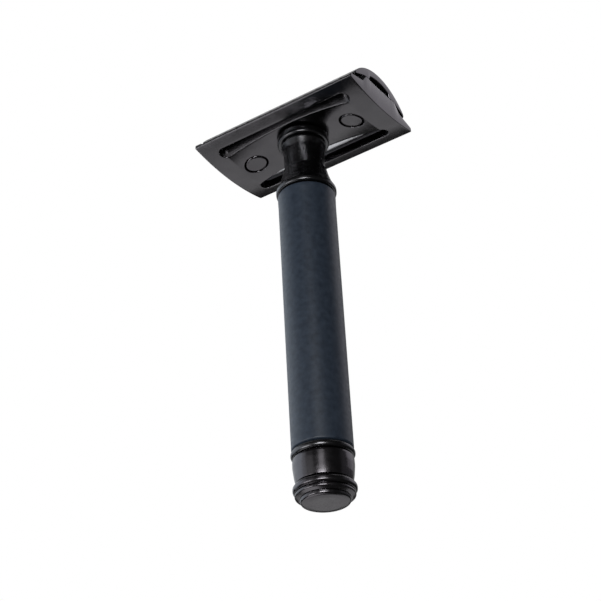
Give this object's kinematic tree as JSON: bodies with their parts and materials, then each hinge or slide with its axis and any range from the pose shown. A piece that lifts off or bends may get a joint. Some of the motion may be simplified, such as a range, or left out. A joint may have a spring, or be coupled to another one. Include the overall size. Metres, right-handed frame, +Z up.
{
  "type": "safety razor",
  "caption": "Double-edge safety razor: an arched cap clamps a thin blade on a slotted, scalloped guard plate that screws onto a round soft-grip handle with a flat-ended knob.",
  "frame": {"origin": "centre of the flat end face of the knob, which is also the bottom centre of the whole razor", "axes": "+Z up the handle to the head, X along the blade, Y across the blade from edge to edge"},
  "size_m": [0.043, 0.026, 0.0988],
  "materials": {
    "satin_black": "satin black coating on cast zinc alloy",
    "gloss_black": "gloss black coating on turned metal",
    "soft_grip": "matt soft-touch blue-black",
    "gunmetal": "polished dark gunmetal coating",
    "blade_steel": "bright ground stainless strip with honed edges",
    "stud_steel": "plain machined steel",
    "brass": "machined brass",
    "inner_aluminium": "drawn tube",
    "seal_rubber": "black seal rubber"
  },
  "bodies": {
    "handle": {"neck": "gloss_black", "seat_collar": "gloss_black", "neck_thread_insert": "brass", "shoulder_ring": "gloss_black", "upper_o_ring": "seal_rubber", "grip_sleeve": "soft_grip", "core_tube": "inner_aluminium", "tie_rod": "stud_steel", "balance_weight": "stud_steel", "upper_weight_pad": "seal_rubber", "lower_weight_pad": "seal_rubber", "bead_ring": "gloss_black", "ferrule": "gunmetal", "ferrule_bush": "brass", "lock_nut": "stud_steel", "end_knob": "gunmetal"},
    "base_plate": {"base_plate": "satin_black"},
    "blade": {"blade": "blade_steel"},
    "cap": {"cap": "satin_black", "cap_stud": "stud_steel", "alignment_pin_left": "satin_black", "alignment_pin_right": "satin_black"}
  },
  "joints": [
    {"name": "head_turn", "type": "hinge", "parent": "handle", "child": "base_plate", "pos_m": [0, 0, 0.0889], "axis": [0, 0, 1], "range_deg": [0, 3510]},
    {"name": "cap_rise", "type": "slide", "parent": "base_plate", "child": "cap", "axis": [0, 0, 1], "range_m": [0, 0.0079]},
    {"name": "blade_lift", "type": "slide", "parent": "base_plate", "child": "blade", "axis": [0, 0, 1], "range_m": [0, 0.0028]}
  ],
  "couplings": [
    {"joint": "cap_rise", "follows": "head_turn", "m_per_rad": 0.00012732},
    {"joint": "blade_lift", "follows": "head_turn", "m_per_rad": 0.000045}
  ]
}
